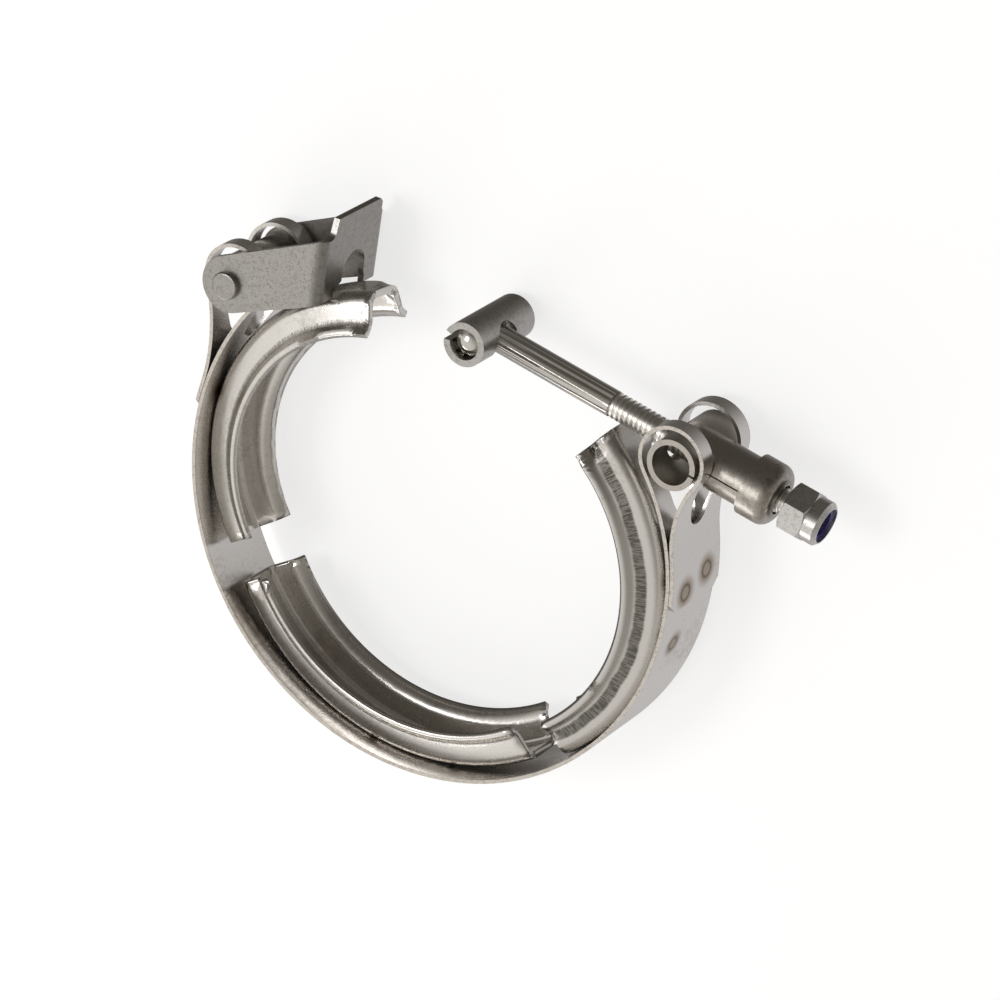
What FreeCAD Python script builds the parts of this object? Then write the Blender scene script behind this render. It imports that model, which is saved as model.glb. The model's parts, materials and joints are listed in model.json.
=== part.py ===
import FreeCAD, Part

"""V-band clamp with a fold-over latch and a T-bolt, modelled open and lying flat.

The ring's axis is +Z and passes through the origin.  The band's middle plane is
z = 0.  A sprung band carries three V-section retainers.  Each end of the band is
folded back on itself into a slotted loop: the left loop holds the latch on a
riveted pin, and the right loop holds a formed trunnion for the T-bolt.
"""

import math
import os

import Sketcher
from FreeCAD import Placement, Rotation, Vector

# Driving sizes, in millimetres and degrees.  They become the cells of the sheet.
SIZES = {
    # band
    "ring_radius": 63.7,
    "strip_thickness": 0.9,
    "strip_width": 21.6,
    "loop_bore_radius": 7.3,
    "tail_gap": 0.1,
    "tail_corner": 2.0,
    # band, bolt side
    "leaf_start_angle": -4.0,
    "leaf_radius": 52.4,
    "right_loop_angle": 29.2,
    "right_contact_angle": 5.0,
    "right_tail_angle": -7.5,
    # band, latch side
    "left_loop_angle": 135.8,
    "left_contact_angle": 160.0,
    "left_tail_angle": 166.0,
    # slots through both leaves and the loop
    "slot_half_width": 6.5,
    "slot_end_radius": 3.8,
    "slot_reach": 18.3,
    "slot_straight": 7.0,
    "left_slot_lean": 20.7,
    # spot welds that hold the tails
    "weld_radius": 1.8,
    "weld_inset": 1.3,
    "weld_spacing": 9.5,
    "right_weld_angle": -3.3,
    "right_weld_stagger": 2.2,
    "left_weld_angle": 163.2,
    # retainers
    "retainer_thickness": 1.5,
    "retainer_seat": 0.05,
    "crown_half_width": 3.4,
    "crown_bend": 2.35,
    "flank_splay": 9.0,
    "flank_length": 3.4,
    "lip_bend": 3.5,
    "lip_angle": 50.0,
    "lip_length": 1.6,
    "left_crown_radius": 48.4,
    "left_touch_angle": 171.6,
    "left_middle_angle": 150.2,
    "left_span": 112.7,
    "lower_crown_radius": 57.0,
    "lower_touch_angle": 253.8,
    "lower_middle_angle": 251.4,
    "lower_span": 95.0,
    "right_crown_radius": 53.0,
    "right_touch_angle": -47.5,
    "right_middle_angle": -6.8,
    "right_span": 102.1,
    # latch
    "latch_thickness": 1.5,
    "latch_inner_width": 23.4,
    "latch_bend": 1.5,
    "latch_turn": -8.8,
    "latch_web_reach": 24.0,
    "ear_radius": 6.8,
    "ear_top_slope": 25.7,
    "ear_foot_slope": 23.5,
    "tab_height": 20.0,
    "tab_front": 7.5,
    "tab_rear": 10.6,
    "tab_shoulder": 1.8,
    "tab_lean": 12.0,
    "latch_slot_radius": 4.65,
    "latch_slot_height": 9.7,
    "latch_slot_mouth": 6.5,
    "latch_slot_flare": 1.6,
    "latch_slot_shift": -1.2,
    # latch pin and its spacer sleeve
    "pin_radius": 2.5,
    "pin_head_radius": 3.35,
    "pin_head_height": 1.5,
    "pin_head_round": 0.5,
    "spacer_radius": 5.9,
    "spacer_end_gap": 0.15,
    "pin_offset_angle": -115.0,
    "running_gap": 0.05,
    "rest_gap": 0.3,
    # trunnion
    "tube_radius": 6.0,
    "tube_wall": 1.3,
    "tube_slit": 0.55,
    "barrel_radius": 6.1,
    "barrel_seam": 0.35,
    "barrel_seam_start": 7.2,
    "tube_bolt_hole": 4.0,
    "trunnion_offset_angle": -90.0,
    # cap on the barrel
    "cap_radius": 7.35,
    "cap_wall": 1.15,
    "cap_rim": 15.5,
    "cap_length": 7.6,
    "cap_round": 3.0,
    "cap_hole": 3.6,
    # T-bolt
    "bolt_angle": -18.3,
    "bolt_reach": 56.2,
    "bolt_length": 89.2,
    "shank_radius": 3.175,
    "plain_length": 34.5,
    "thread_radius": 3.1,
    "bolt_chamfer": 0.7,
    "head_radius": 3.15,
    "head_half_length": 9.6,
    "head_dome": 1.3,
    # sleeve on the T-bolt's head
    "sleeve_radius": 5.25,
    "sleeve_wall": 1.6,
    "sleeve_length": 22.4,
    "sleeve_slit": 1.9,
    "sleeve_hole": 4.4,
    "sleeve_shift": 0.8,
    # lock nut and its insert
    "nut_standoff": 25.5,
    "nut_flats": 11.1,
    "nut_hex_height": 5.8,
    "nut_height": 9.5,
    "nut_chamfer_angle": 30.0,
    "collar_radius": 5.35,
    "collar_wall": 0.75,
    "collar_lip": 0.9,
    "thread_gap": 0.03,
    "insert_gap": 0.02,
    "insert_height": 2.6,
}


class Size:
    """The sheet's cells, read by name."""

    def __init__(self, document):
        self.sheet = document.addObject("Spreadsheet::Sheet", "Sizes")
        for row, (name, value) in enumerate(SIZES.items(), start=1):
            self.sheet.set(f"A{row}", name)
            self.sheet.set(f"B{row}", str(value))
            self.sheet.setAlias(f"B{row}", name)
        document.recompute()

    def __getattr__(self, name):
        return float(self.sheet.get(name))


def direction(degrees):
    """Unit vector in the XY plane."""
    angle = math.radians(degrees)
    return Vector(math.cos(angle), math.sin(angle), 0)


def bearing(vector):
    """Angle of a vector in the XY plane, in degrees."""
    return math.degrees(math.atan2(vector.y, vector.x))


class Edge:
    """One line or arc of a sketch outline, with the direction in which it is walked."""

    def __init__(self, start, end, centre=None, turn=0.0, size=None):
        self.start = start
        self.end = end
        self.centre = centre
        self.turn = turn
        self.size = size

    def reversed(self):
        return Edge(self.end, self.start, self.centre, -self.turn, self.size)

    def offset(self, distance, thickness_name):
        """The edge moved to the left by distance, which may be negative."""
        if self.centre is None:
            side = Vector(self.end - self.start)
            left = Vector(-side.y, side.x, 0).normalize() * distance
            return Edge(self.start + left, self.end + left)
        radius = (self.start - self.centre).Length
        grow = -distance if self.turn > 0 else distance
        scale = (radius + grow) / radius
        size = None
        if self.size:
            sign = "+" if grow > 0 else "-"
            size = f"{self.size} {sign} Sizes.{thickness_name} / 2"
        start = self.centre + (self.start - self.centre) * scale
        end = self.centre + (self.end - self.centre) * scale
        return Edge(start, end, self.centre, self.turn, size)

    def geometry(self):
        if self.centre is None:
            return Part.LineSegment(self.start, self.end)
        radius = (self.start - self.centre).Length
        circle = Part.Circle(self.centre, Vector(0, 0, 1), radius)
        low, high = (self.start, self.end) if self.turn > 0 else (self.end, self.start)
        first = math.radians(bearing(low - self.centre))
        return Part.ArcOfCircle(circle, first, first + math.radians(abs(self.turn)))

    def ends(self):
        """Sketch vertex numbers at the walk's start and end."""
        return (2, 1) if self.centre is not None and self.turn < 0 else (1, 2)


class Track:
    """Centre line of a bent sheet, laid down as straight runs and tangent arcs."""

    def __init__(self, start, heading):
        self.point = Vector(start)
        self.heading = heading
        self.edges = []

    def line(self, length):
        end = self.point + direction(self.heading) * length
        self.edges.append(Edge(self.point, end))
        self.point = end
        return self

    def arc(self, radius, turn, size=None):
        side = 1 if turn > 0 else -1
        centre = self.point + direction(self.heading + 90 * side) * radius
        spoke = self.point - centre
        end = centre + Rotation(Vector(0, 0, 1), turn).multVec(spoke)
        self.edges.append(Edge(self.point, end, centre, turn, size))
        self.point = end
        self.heading += turn
        return self

    def outline(self, thickness, thickness_name):
        """Closed outline of the sheet's thickness about the centre line."""
        left = [edge.offset(thickness / 2, thickness_name) for edge in self.edges]
        right = [edge.offset(-thickness / 2, thickness_name) for edge in self.edges]
        back = [edge.reversed() for edge in reversed(right)]
        cap = Edge(left[-1].end, back[0].start)
        heel = Edge(back[-1].end, left[0].start)
        return left + [cap] + back + [heel]


def polygon(points):
    """Closed outline through points."""
    following = points[1:] + points[:1]
    return [Edge(a, b) for a, b in zip(points, following)]


def box_outline(low_x, low_y, high_x, high_y):
    corners = [(low_x, low_y), (high_x, low_y), (high_x, high_y), (low_x, high_y)]
    return polygon([Vector(x, y, 0) for x, y in corners])


class Piece:
    """A PartDesign body with its own label and placement."""

    def __init__(self, document, label):
        self.document = document
        self.body = document.addObject("PartDesign::Body", label)
        self.body.Label = label
        self.count = 0

    def place(self, point, turn=0.0):
        self.body.Placement = Placement(point, Rotation(Vector(0, 0, 1), turn))

    def name(self, kind):
        self.count += 1
        return f"{self.body.Name}_{kind}{self.count}"

    def sketch(self, plane, offset=None):
        """Empty sketch on one of the body's own origin planes."""
        sketch = self.body.newObject("Sketcher::SketchObject", self.name("sketch"))
        datum = [f for f in self.body.Origin.OriginFeatures if f.Role == plane]
        sketch.AttachmentSupport = (datum[0], "")
        sketch.MapMode = "FlatFace"
        if offset is not None:
            sketch.AttachmentOffset = offset
        return sketch

    def outline(self, sketch, edges):
        """Closed outline with coincident corners; named radii follow the sheet."""
        first = sketch.GeometryCount
        sketch.addGeometry([edge.geometry() for edge in edges], False)
        for number, edge in enumerate(edges):
            after = (number + 1) % len(edges)
            sketch.addConstraint(
                Sketcher.Constraint(
                    "Coincident",
                    first + number,
                    edge.ends()[1],
                    first + after,
                    edges[after].ends()[0],
                )
            )
            if edge.size:
                radius = (edge.start - edge.centre).Length
                index = sketch.addConstraint(
                    Sketcher.Constraint("Radius", first + number, radius)
                )
                sketch.setExpression(f"Constraints[{index}]", edge.size)

    def circle(self, sketch, radius_name, centre=None, gap_name=None):
        """Circle whose radius is a named size, with an optional named gap added."""
        middle = centre or Vector(0, 0, 0)
        index = sketch.addGeometry(Part.Circle(middle, Vector(0, 0, 1), 1.0), False)
        if middle.Length < 1e-9:
            sketch.addConstraint(Sketcher.Constraint("Coincident", index, 3, -1, 1))
        constraint = sketch.addConstraint(Sketcher.Constraint("Radius", index, 1.0))
        size = f"Sizes.{radius_name}"
        if gap_name:
            size += f" + Sizes.{gap_name}"
        sketch.setExpression(f"Constraints[{constraint}]", size)

    def feature(self, kind, sketch):
        feature = self.body.newObject(f"PartDesign::{kind}", self.name(kind.lower()))
        feature.Profile = sketch
        sketch.Visibility = False
        return feature

    def pad(self, sketch, length, midplane=False, reverse=False):
        """Pad by an expression of the sheet's sizes."""
        pad = self.feature("Pad", sketch)
        pad.setExpression("Length", length)
        pad.Midplane = midplane
        pad.Reversed = reverse
        return pad

    def cut(self, sketch, length, reverse=False, midplane=False):
        """Pocket by an expression; it must take material away."""
        self.document.recompute()
        before = self.body.Shape.Volume
        pocket = self.feature("Pocket", sketch)
        pocket.setExpression("Length", length)
        pocket.Midplane = midplane
        pocket.Reversed = reverse
        self.document.recompute()
        if self.body.Shape.Volume >= before - 1e-6:
            raise RuntimeError(f"{pocket.Name} removes nothing")
        return pocket

    def revolve(self, sketch, axis, angle="360", midplane=False):
        revolution = self.feature("Revolution", sketch)
        revolution.ReferenceAxis = (sketch, [axis])
        revolution.setExpression("Angle", angle)
        revolution.Midplane = midplane
        return revolution

    def groove(self, sketch, axis):
        """Groove all the way round; it must take material away."""
        self.document.recompute()
        before = self.body.Shape.Volume
        groove = self.feature("Groove", sketch)
        groove.ReferenceAxis = (sketch, [axis])
        groove.Angle = 360
        self.document.recompute()
        if self.body.Shape.Volume >= before - 1e-6:
            raise RuntimeError(f"{groove.Name} removes nothing")
        return groove


class BandPlan:
    """Where the band's loops, leaves and tails lie in plan."""

    def __init__(self, size):
        half = size.strip_thickness / 2
        self.ring = size.ring_radius - half
        self.loop = size.loop_bore_radius + half
        self.leaf = size.leaf_radius - half
        self.tail = size.ring_radius + size.tail_gap + half
        lead = direction(size.leaf_start_angle)
        self.leaf_centre = lead * (self.ring - self.leaf)
        toward_right = direction(size.right_loop_angle)
        self.right_loop = self.leaf_centre + toward_right * (self.leaf + self.loop)
        self.left_loop = direction(size.left_loop_angle) * (self.ring + self.loop)

    def neck(self, loop_centre, contact_angle):
        """Reverse arc that leads from a loop back onto the ring: radius and centre."""
        out = direction(contact_angle)
        along = out.dot(loop_centre)
        top = self.loop**2 - self.tail**2 + 2 * self.tail * along
        top -= loop_centre.dot(loop_centre)
        radius = top / (2 * (self.tail - along - self.loop))
        return radius, out * (self.tail + radius)

    def track(self, size):
        """Centre line of the strip from the bolt-side tail to the latch-side tail."""
        start = direction(size.right_tail_angle) * self.tail
        track = Track(start, size.right_tail_angle + 90)
        half = "Sizes.strip_thickness / 2"
        tail = f"Sizes.ring_radius + Sizes.tail_gap + {half}"
        loop = f"Sizes.loop_bore_radius + {half}"
        ring = f"Sizes.ring_radius - {half}"
        leaf = f"Sizes.leaf_radius - {half}"

        track.arc(self.tail, size.right_contact_angle - size.right_tail_angle, tail)
        radius, centre = self.neck(self.right_loop, size.right_contact_angle)
        to_loop = bearing(self.right_loop - centre)
        track.arc(radius, to_loop - (size.right_contact_angle + 180))
        leave = bearing(centre - self.right_loop)
        track.arc(self.loop, size.right_loop_angle + 180 - leave, loop)
        track.arc(self.leaf, size.leaf_start_angle - size.right_loop_angle, leaf)
        sweep = 360 - size.left_loop_angle + size.leaf_start_angle
        track.arc(self.ring, -sweep, ring)

        radius, centre = self.neck(self.left_loop, size.left_contact_angle)
        arrive = bearing(centre - self.left_loop) % 360
        track.arc(self.loop, arrive - (size.left_loop_angle - 180), loop)
        track.arc(radius, size.left_contact_angle - 180 - bearing(self.left_loop - centre))
        track.arc(self.tail, size.left_tail_angle - size.left_contact_angle, tail)
        return track


def keyhole(size, centre_along):
    """Slot outline: parallel at the loop, tapering to a round end in the tail."""
    half = size.slot_half_width
    round_end = size.slot_end_radius
    middle = Vector(centre_along - size.slot_reach + round_end, 0, 0)
    shoulder = Vector(centre_along - size.slot_straight, half, 0)
    top = Vector(centre_along + size.loop_bore_radius + 2 * size.slot_end_radius, half, 0)
    run = shoulder.x - middle.x
    lean = math.atan2(half, run) - math.asin(round_end / math.hypot(run, half))
    lean = math.degrees(lean)
    upper = middle + direction(90 + lean) * round_end

    def mirrored(point):
        return Vector(point.x, -point.y, 0)

    return [
        Edge(top, shoulder),
        Edge(shoulder, upper),
        Edge(upper, mirrored(upper), middle, 180 - 2 * lean),
        Edge(mirrored(upper), mirrored(shoulder)),
        Edge(mirrored(shoulder), mirrored(top)),
        Edge(mirrored(top), top),
    ]


def build_band(document, size, plan):
    """Sprung strap: ring, two folded and slotted loops, and two welded tails."""
    piece = Piece(document, "band")
    sketch = piece.sketch("XY_Plane")
    outline = plan.track(size).outline(size.strip_thickness, "strip_thickness")
    piece.outline(sketch, outline)
    piece.pad(sketch, "Sizes.strip_width", midplane=True)

    sketch = piece.sketch("YZ_Plane")
    piece.outline(sketch, keyhole(size, plan.right_loop.y))
    piece.cut(sketch, "2 * Sizes.ring_radius", reverse=True)

    centre = plan.left_loop
    lean = Rotation(Vector(0, 1, 0), -size.left_slot_lean)
    sketch = piece.sketch("YZ_Plane", Placement(Vector(centre.y, 0, centre.x), lean))
    piece.outline(sketch, keyhole(size, 0))
    piece.cut(sketch, "4 * (Sizes.loop_bore_radius + Sizes.tail_gap)", midplane=True)

    stagger = size.right_weld_stagger / 2
    spots = [
        (size.right_weld_angle - stagger, 1),
        (size.right_weld_angle + stagger, -1),
        (size.left_weld_angle, 1),
        (size.left_weld_angle, -1),
    ]
    skin = (2 * size.strip_thickness + size.tail_gap) / 4
    for number, (angle, side) in enumerate(spots, start=1):
        name = f"{piece.body.Name}_spot{number}"
        nugget = piece.body.newObject("PartDesign::AdditiveCylinder", name)
        nugget.setExpression("Radius", "Sizes.weld_radius")
        nugget.setExpression("Height", "Sizes.strip_thickness + Sizes.tail_gap / 2")
        base = direction(angle) * (size.ring_radius - size.strip_thickness + skin)
        base.z = side * size.weld_spacing / 2
        nugget.Placement = Placement(base, Rotation(Vector(0, 0, 1), direction(angle)))
    document.recompute()

    corners = []
    for number, edge in enumerate(piece.body.Shape.Edges, start=1):
        middle = edge.CenterOfMass
        flat = Vector(middle.x, middle.y, 0)
        at_side = abs(abs(middle.z) - size.strip_width / 2) < 0.01
        on_tail = abs(flat.Length - plan.tail) < 0.01
        if at_side and on_tail and edge.Length < 2 * size.strip_thickness:
            corners.append(f"Edge{number}")
    carrier = piece.body.Tip
    chamfer = piece.body.newObject("PartDesign::Chamfer", piece.name("chamfer"))
    chamfer.Base = (carrier, corners)
    chamfer.setExpression("Size", "Sizes.tail_corner")
    return piece


def retainer_section(size, crown_radius):
    """V section of a retainer: crown, two bends, splayed flanks and turned-out lips."""
    crown = crown_radius - size.retainer_thickness / 2

    def half(track):
        track.line(size.crown_half_width)
        track.arc(size.crown_bend, 90 - size.flank_splay, "Sizes.crown_bend")
        track.line(size.flank_length)
        track.arc(size.lip_bend, size.flank_splay - size.lip_angle, "Sizes.lip_bend")
        track.line(size.lip_length)
        return track

    upper = half(Track(Vector(crown, 0, 0), 90))
    tip = Vector(upper.point.x, -upper.point.y, 0)
    section = Track(tip, 180 - upper.heading)
    section.line(size.lip_length)
    section.arc(size.lip_bend, size.flank_splay - size.lip_angle, "Sizes.lip_bend")
    section.line(size.flank_length)
    section.arc(size.crown_bend, 90 - size.flank_splay, "Sizes.crown_bend")
    section.line(2 * size.crown_half_width)
    section.edges += upper.edges[1:]
    return section.outline(size.retainer_thickness, "retainer_thickness")


def build_retainer(document, size, side):
    """Rigid V-section segment, tangent to the band's inside at its touch angle."""
    crown = getattr(size, f"{side}_crown_radius")
    touch = getattr(size, f"{side}_touch_angle")
    middle = getattr(size, f"{side}_middle_angle")
    piece = Piece(document, f"retainer_{side}")
    sketch = piece.sketch("XZ_Plane")
    piece.outline(sketch, retainer_section(size, crown))
    piece.revolve(sketch, "V_Axis", f"Sizes.{side}_span", midplane=True)
    inside = size.ring_radius - size.strip_thickness - size.retainer_seat
    piece.place(direction(touch) * (inside - crown), middle)
    return piece


def ear_outline(size):
    """Side view of the latch, with its web standing upright beyond the ears."""
    back = size.latch_web_reach + size.latch_thickness
    inner = size.latch_web_reach - size.latch_thickness
    top = direction(size.ear_top_slope + 90) * size.ear_radius
    foot = direction(size.ear_foot_slope - 90) * size.ear_radius
    top_slope = math.tan(math.radians(size.ear_top_slope))
    foot_slope = math.tan(math.radians(size.ear_foot_slope))
    shoulder = Vector(inner, top.y + (inner - top.x) * top_slope, 0)
    heel = Vector(back, foot.y + (back - foot.x) * foot_slope, 0)
    web_foot = foot.y + (size.latch_web_reach - foot.x) * foot_slope
    tab_top = web_foot + size.tab_height
    sweep = 180 - (size.ear_top_slope - size.ear_foot_slope)
    return [
        Edge(top, foot, Vector(0, 0, 0), sweep, "Sizes.ear_radius"),
        Edge(foot, heel),
        Edge(heel, Vector(back, tab_top, 0)),
        Edge(Vector(back, tab_top, 0), Vector(inner, tab_top, 0)),
        Edge(Vector(inner, tab_top, 0), shoulder),
        Edge(shoulder, top),
    ]


def tab_cuts(size, web_foot, ear_top):
    """The two corners cut away beside the latch's tab, in the web's own plane."""
    half = size.latch_inner_width
    sky = web_foot + 2 * size.tab_height
    tab_top = web_foot + size.tab_height
    lean = math.tan(math.radians(size.tab_lean))
    front = Vector(ear_top, half, 0)
    curve = Track(front, -90)
    rise = tab_top - ear_top
    foot_of_rise = size.tab_front + rise * lean
    curve.line(half - foot_of_rise - size.tab_shoulder)
    curve.arc(size.tab_shoulder, 90 - size.tab_lean)
    reach = (sky - curve.point.x) / math.cos(math.radians(size.tab_lean))
    curve.line(reach)
    front_cut = curve.edges + [
        Edge(curve.point, Vector(sky, half, 0)),
        Edge(Vector(sky, half, 0), front),
    ]
    rear = -size.tab_rear
    step = size.tab_shoulder
    rear_cut = polygon(
        [
            Vector(ear_top + step / 2, -half, 0),
            Vector(ear_top + step / 2, rear - step, 0),
            Vector(ear_top + step, rear, 0),
            Vector(tab_top - step / 2, rear, 0),
            Vector(sky, rear + sky - tab_top + step / 2, 0),
            Vector(sky, -half, 0),
        ]
    )
    return front_cut, rear_cut


def latch_slot(size, web_foot):
    """Arch through the web for the T-bolt, flared where it straddles the retainer."""
    radius = size.latch_slot_radius
    mouth = size.latch_slot_mouth
    shift = size.latch_slot_shift
    centre = Vector(web_foot + size.latch_slot_height - radius, shift, 0)
    below = web_foot - size.latch_thickness
    flare = web_foot + size.latch_slot_flare

    knee = (flare + centre.x) / 2
    high = shift + radius
    low = shift - radius
    corners = [
        (centre.x, high),
        (knee, high),
        (flare, mouth),
        (below, mouth),
        (below, -mouth),
        (flare, -mouth),
        (knee, low),
        (centre.x, low),
    ]
    sides = polygon([Vector(x, y, 0) for x, y in corners])[:-1]
    arch = Edge(sides[-1].end, sides[0].start, centre, 180, "Sizes.latch_slot_radius")
    return sides + [arch]


def build_latch(document, size, pin_centre):
    """Stamped latch: two ears on the pin and a slotted web that ends in a tab."""
    piece = Piece(document, "latch")
    half_sheet = size.latch_thickness / 2
    bend = size.latch_bend + half_sheet
    outer = size.latch_inner_width / 2 + size.latch_thickness
    run = size.latch_web_reach - half_sheet - bend + 2 * size.ear_radius
    start = Vector(-2 * size.ear_radius, outer - half_sheet, 0)
    channel = Track(start, 0)
    channel.line(run)
    channel.arc(bend, -90, "Sizes.latch_bend + Sizes.latch_thickness / 2")
    channel.line(2 * (outer - half_sheet - bend))
    channel.arc(bend, -90, "Sizes.latch_bend + Sizes.latch_thickness / 2")
    channel.line(run)
    sketch = piece.sketch("XZ_Plane")
    piece.outline(sketch, channel.outline(size.latch_thickness, "latch_thickness"))
    piece.pad(sketch, "4 * Sizes.latch_web_reach", midplane=True)

    ears = ear_outline(size)
    far = 3 * size.latch_web_reach
    sketch = piece.sketch("XY_Plane")
    piece.outline(sketch, box_outline(-far, -far, far, far))
    piece.outline(sketch, ears)
    piece.cut(sketch, "2 * Sizes.latch_inner_width", midplane=True)

    foot = ears[0].end
    foot_slope = math.tan(math.radians(size.ear_foot_slope))
    web_foot = foot.y + (size.latch_web_reach - foot.x) * foot_slope
    top = ears[0].start
    top_slope = math.tan(math.radians(size.ear_top_slope))
    ear_top = top.y + (size.latch_web_reach - size.latch_thickness - top.x) * top_slope
    front, rear = tab_cuts(size, web_foot, ear_top)
    inside = size.latch_web_reach - size.latch_thickness - size.latch_bend
    inward = Placement(Vector(0, 0, inside), Rotation())
    for edges in (front, rear, latch_slot(size, web_foot)):
        sketch = piece.sketch("YZ_Plane", inward)
        piece.outline(sketch, edges)
        piece.cut(sketch, "4 * Sizes.latch_bend", reverse=True)

    sketch = piece.sketch("XY_Plane")
    piece.circle(sketch, "pin_radius", gap_name="running_gap")
    piece.cut(sketch, "2 * Sizes.latch_inner_width", midplane=True)
    piece.place(pin_centre, size.latch_turn)
    return piece


def build_latch_pin(document, size, pin_centre):
    """Rivet through the latch's ears, with a flat round-edged head on each."""
    piece = Piece(document, "latch_pin")
    ear = size.latch_inner_width / 2 + size.latch_thickness
    top = ear + size.pin_head_height
    soft = size.pin_head_round
    head = size.pin_head_radius
    corner = Vector(head - soft, top - soft, 0)
    sketch = piece.sketch("XZ_Plane")
    profile = [
        Edge(Vector(0, 0, 0), Vector(size.pin_radius, 0, 0)),
        Edge(Vector(size.pin_radius, 0, 0), Vector(size.pin_radius, ear, 0)),
        Edge(Vector(size.pin_radius, ear, 0), Vector(head, ear, 0)),
        Edge(Vector(head, ear, 0), Vector(head, top - soft, 0)),
        Edge(Vector(head, top - soft, 0), Vector(head - soft, top, 0), corner, 90),
        Edge(Vector(head - soft, top, 0), Vector(0, top, 0)),
        Edge(Vector(0, top, 0), Vector(0, 0, 0)),
    ]
    piece.outline(sketch, profile)
    piece.revolve(sketch, "V_Axis")
    document.recompute()
    half = piece.body.Tip
    mirror = piece.body.newObject("PartDesign::Mirrored", piece.name("mirror"))
    plane = [f for f in piece.body.Origin.OriginFeatures if f.Role == "XY_Plane"]
    mirror.Originals = [half]
    mirror.MirrorPlane = (plane[0], [""])
    piece.body.Tip = mirror
    piece.place(pin_centre)
    return piece


def build_latch_spacer(document, size, pin_centre):
    """Plain sleeve on the latch's pin, inside the left loop."""
    piece = Piece(document, "latch_spacer")
    sketch = piece.sketch("XY_Plane")
    piece.circle(sketch, "spacer_radius")
    piece.circle(sketch, "pin_radius", gap_name="running_gap")
    piece.pad(sketch, "Sizes.latch_inner_width - 2 * Sizes.spacer_end_gap", midplane=True)
    piece.place(pin_centre)
    return piece


def build_trunnion(document, size, centre):
    """Formed T piece: a cross tube in the right loop with a barrel for the T-bolt."""
    piece = Piece(document, "trunnion")
    sketch = piece.sketch("XY_Plane")
    piece.circle(sketch, "tube_radius")
    piece.pad(sketch, "Sizes.strip_width", midplane=True)

    sketch = piece.sketch("YZ_Plane")
    piece.circle(sketch, "barrel_radius")
    piece.pad(sketch, "Sizes.cap_rim + Sizes.cap_length - Sizes.cap_round")

    bore = size.tube_radius - size.tube_wall
    sketch = piece.sketch("XY_Plane")
    index = sketch.addGeometry(Part.Circle(Vector(), Vector(0, 0, 1), bore), False)
    sketch.addConstraint(Sketcher.Constraint("Coincident", index, 3, -1, 1))
    radius = sketch.addConstraint(Sketcher.Constraint("Radius", index, bore))
    sketch.setExpression(f"Constraints[{radius}]", "Sizes.tube_radius - Sizes.tube_wall")
    piece.cut(sketch, "2 * Sizes.strip_width", midplane=True)

    sketch = piece.sketch("YZ_Plane")
    index = sketch.addGeometry(Part.Circle(Vector(), Vector(0, 0, 1), bore), False)
    sketch.addConstraint(Sketcher.Constraint("Coincident", index, 3, -1, 1))
    radius = sketch.addConstraint(Sketcher.Constraint("Radius", index, bore))
    sketch.setExpression(f"Constraints[{radius}]", "Sizes.barrel_radius - Sizes.tube_wall")
    piece.cut(sketch, "4 * Sizes.barrel_radius", reverse=True)

    sketch = piece.sketch("YZ_Plane")
    piece.circle(sketch, "tube_bolt_hole")
    piece.cut(sketch, "2 * Sizes.tube_radius")

    slit = size.tube_slit / 2
    sketch = piece.sketch("XY_Plane")
    piece.outline(sketch, box_outline(bore / 2, -slit, size.tube_radius + size.tube_wall, slit))
    piece.cut(sketch, "2 * Sizes.strip_width", midplane=True)

    seam = size.barrel_seam / 2
    reach = 2 * (size.cap_rim + size.cap_length)
    sketch = piece.sketch("XY_Plane")
    piece.outline(sketch, box_outline(size.barrel_seam_start, -seam, reach, seam))
    piece.cut(sketch, "2 * Sizes.strip_width", midplane=True)
    piece.place(centre, size.bolt_angle)
    return piece


def build_trunnion_cap(document, size, centre):
    """Drawn cup pressed over the barrel's end, with a hole for the T-bolt."""
    piece = Piece(document, "trunnion_cap")
    outer = size.cap_radius
    wall = size.cap_wall
    start = size.cap_rim
    end = start + size.cap_length
    round_out = size.cap_round
    round_in = round_out - wall
    centre_x = end - round_out
    centre_y = outer - round_out
    corner = Vector(centre_x, centre_y, 0)
    sketch = piece.sketch("XY_Plane")
    profile = [
        Edge(Vector(start, outer - wall, 0), Vector(centre_x, outer - wall, 0)),
        Edge(
            Vector(centre_x, outer - wall, 0),
            Vector(centre_x + round_in, centre_y, 0),
            corner,
            -90,
        ),
        Edge(Vector(end - wall, centre_y, 0), Vector(end - wall, size.cap_hole, 0)),
        Edge(Vector(end - wall, size.cap_hole, 0), Vector(end, size.cap_hole, 0)),
        Edge(Vector(end, size.cap_hole, 0), Vector(end, centre_y, 0)),
        Edge(Vector(end, centre_y, 0), Vector(centre_x, outer, 0), corner, 90, "Sizes.cap_round"),
        Edge(Vector(centre_x, outer, 0), Vector(start, outer, 0)),
        Edge(Vector(start, outer, 0), Vector(start, outer - wall, 0)),
    ]
    piece.outline(sketch, profile)
    piece.revolve(sketch, "H_Axis")
    piece.place(centre, size.bolt_angle)
    return piece


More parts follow.
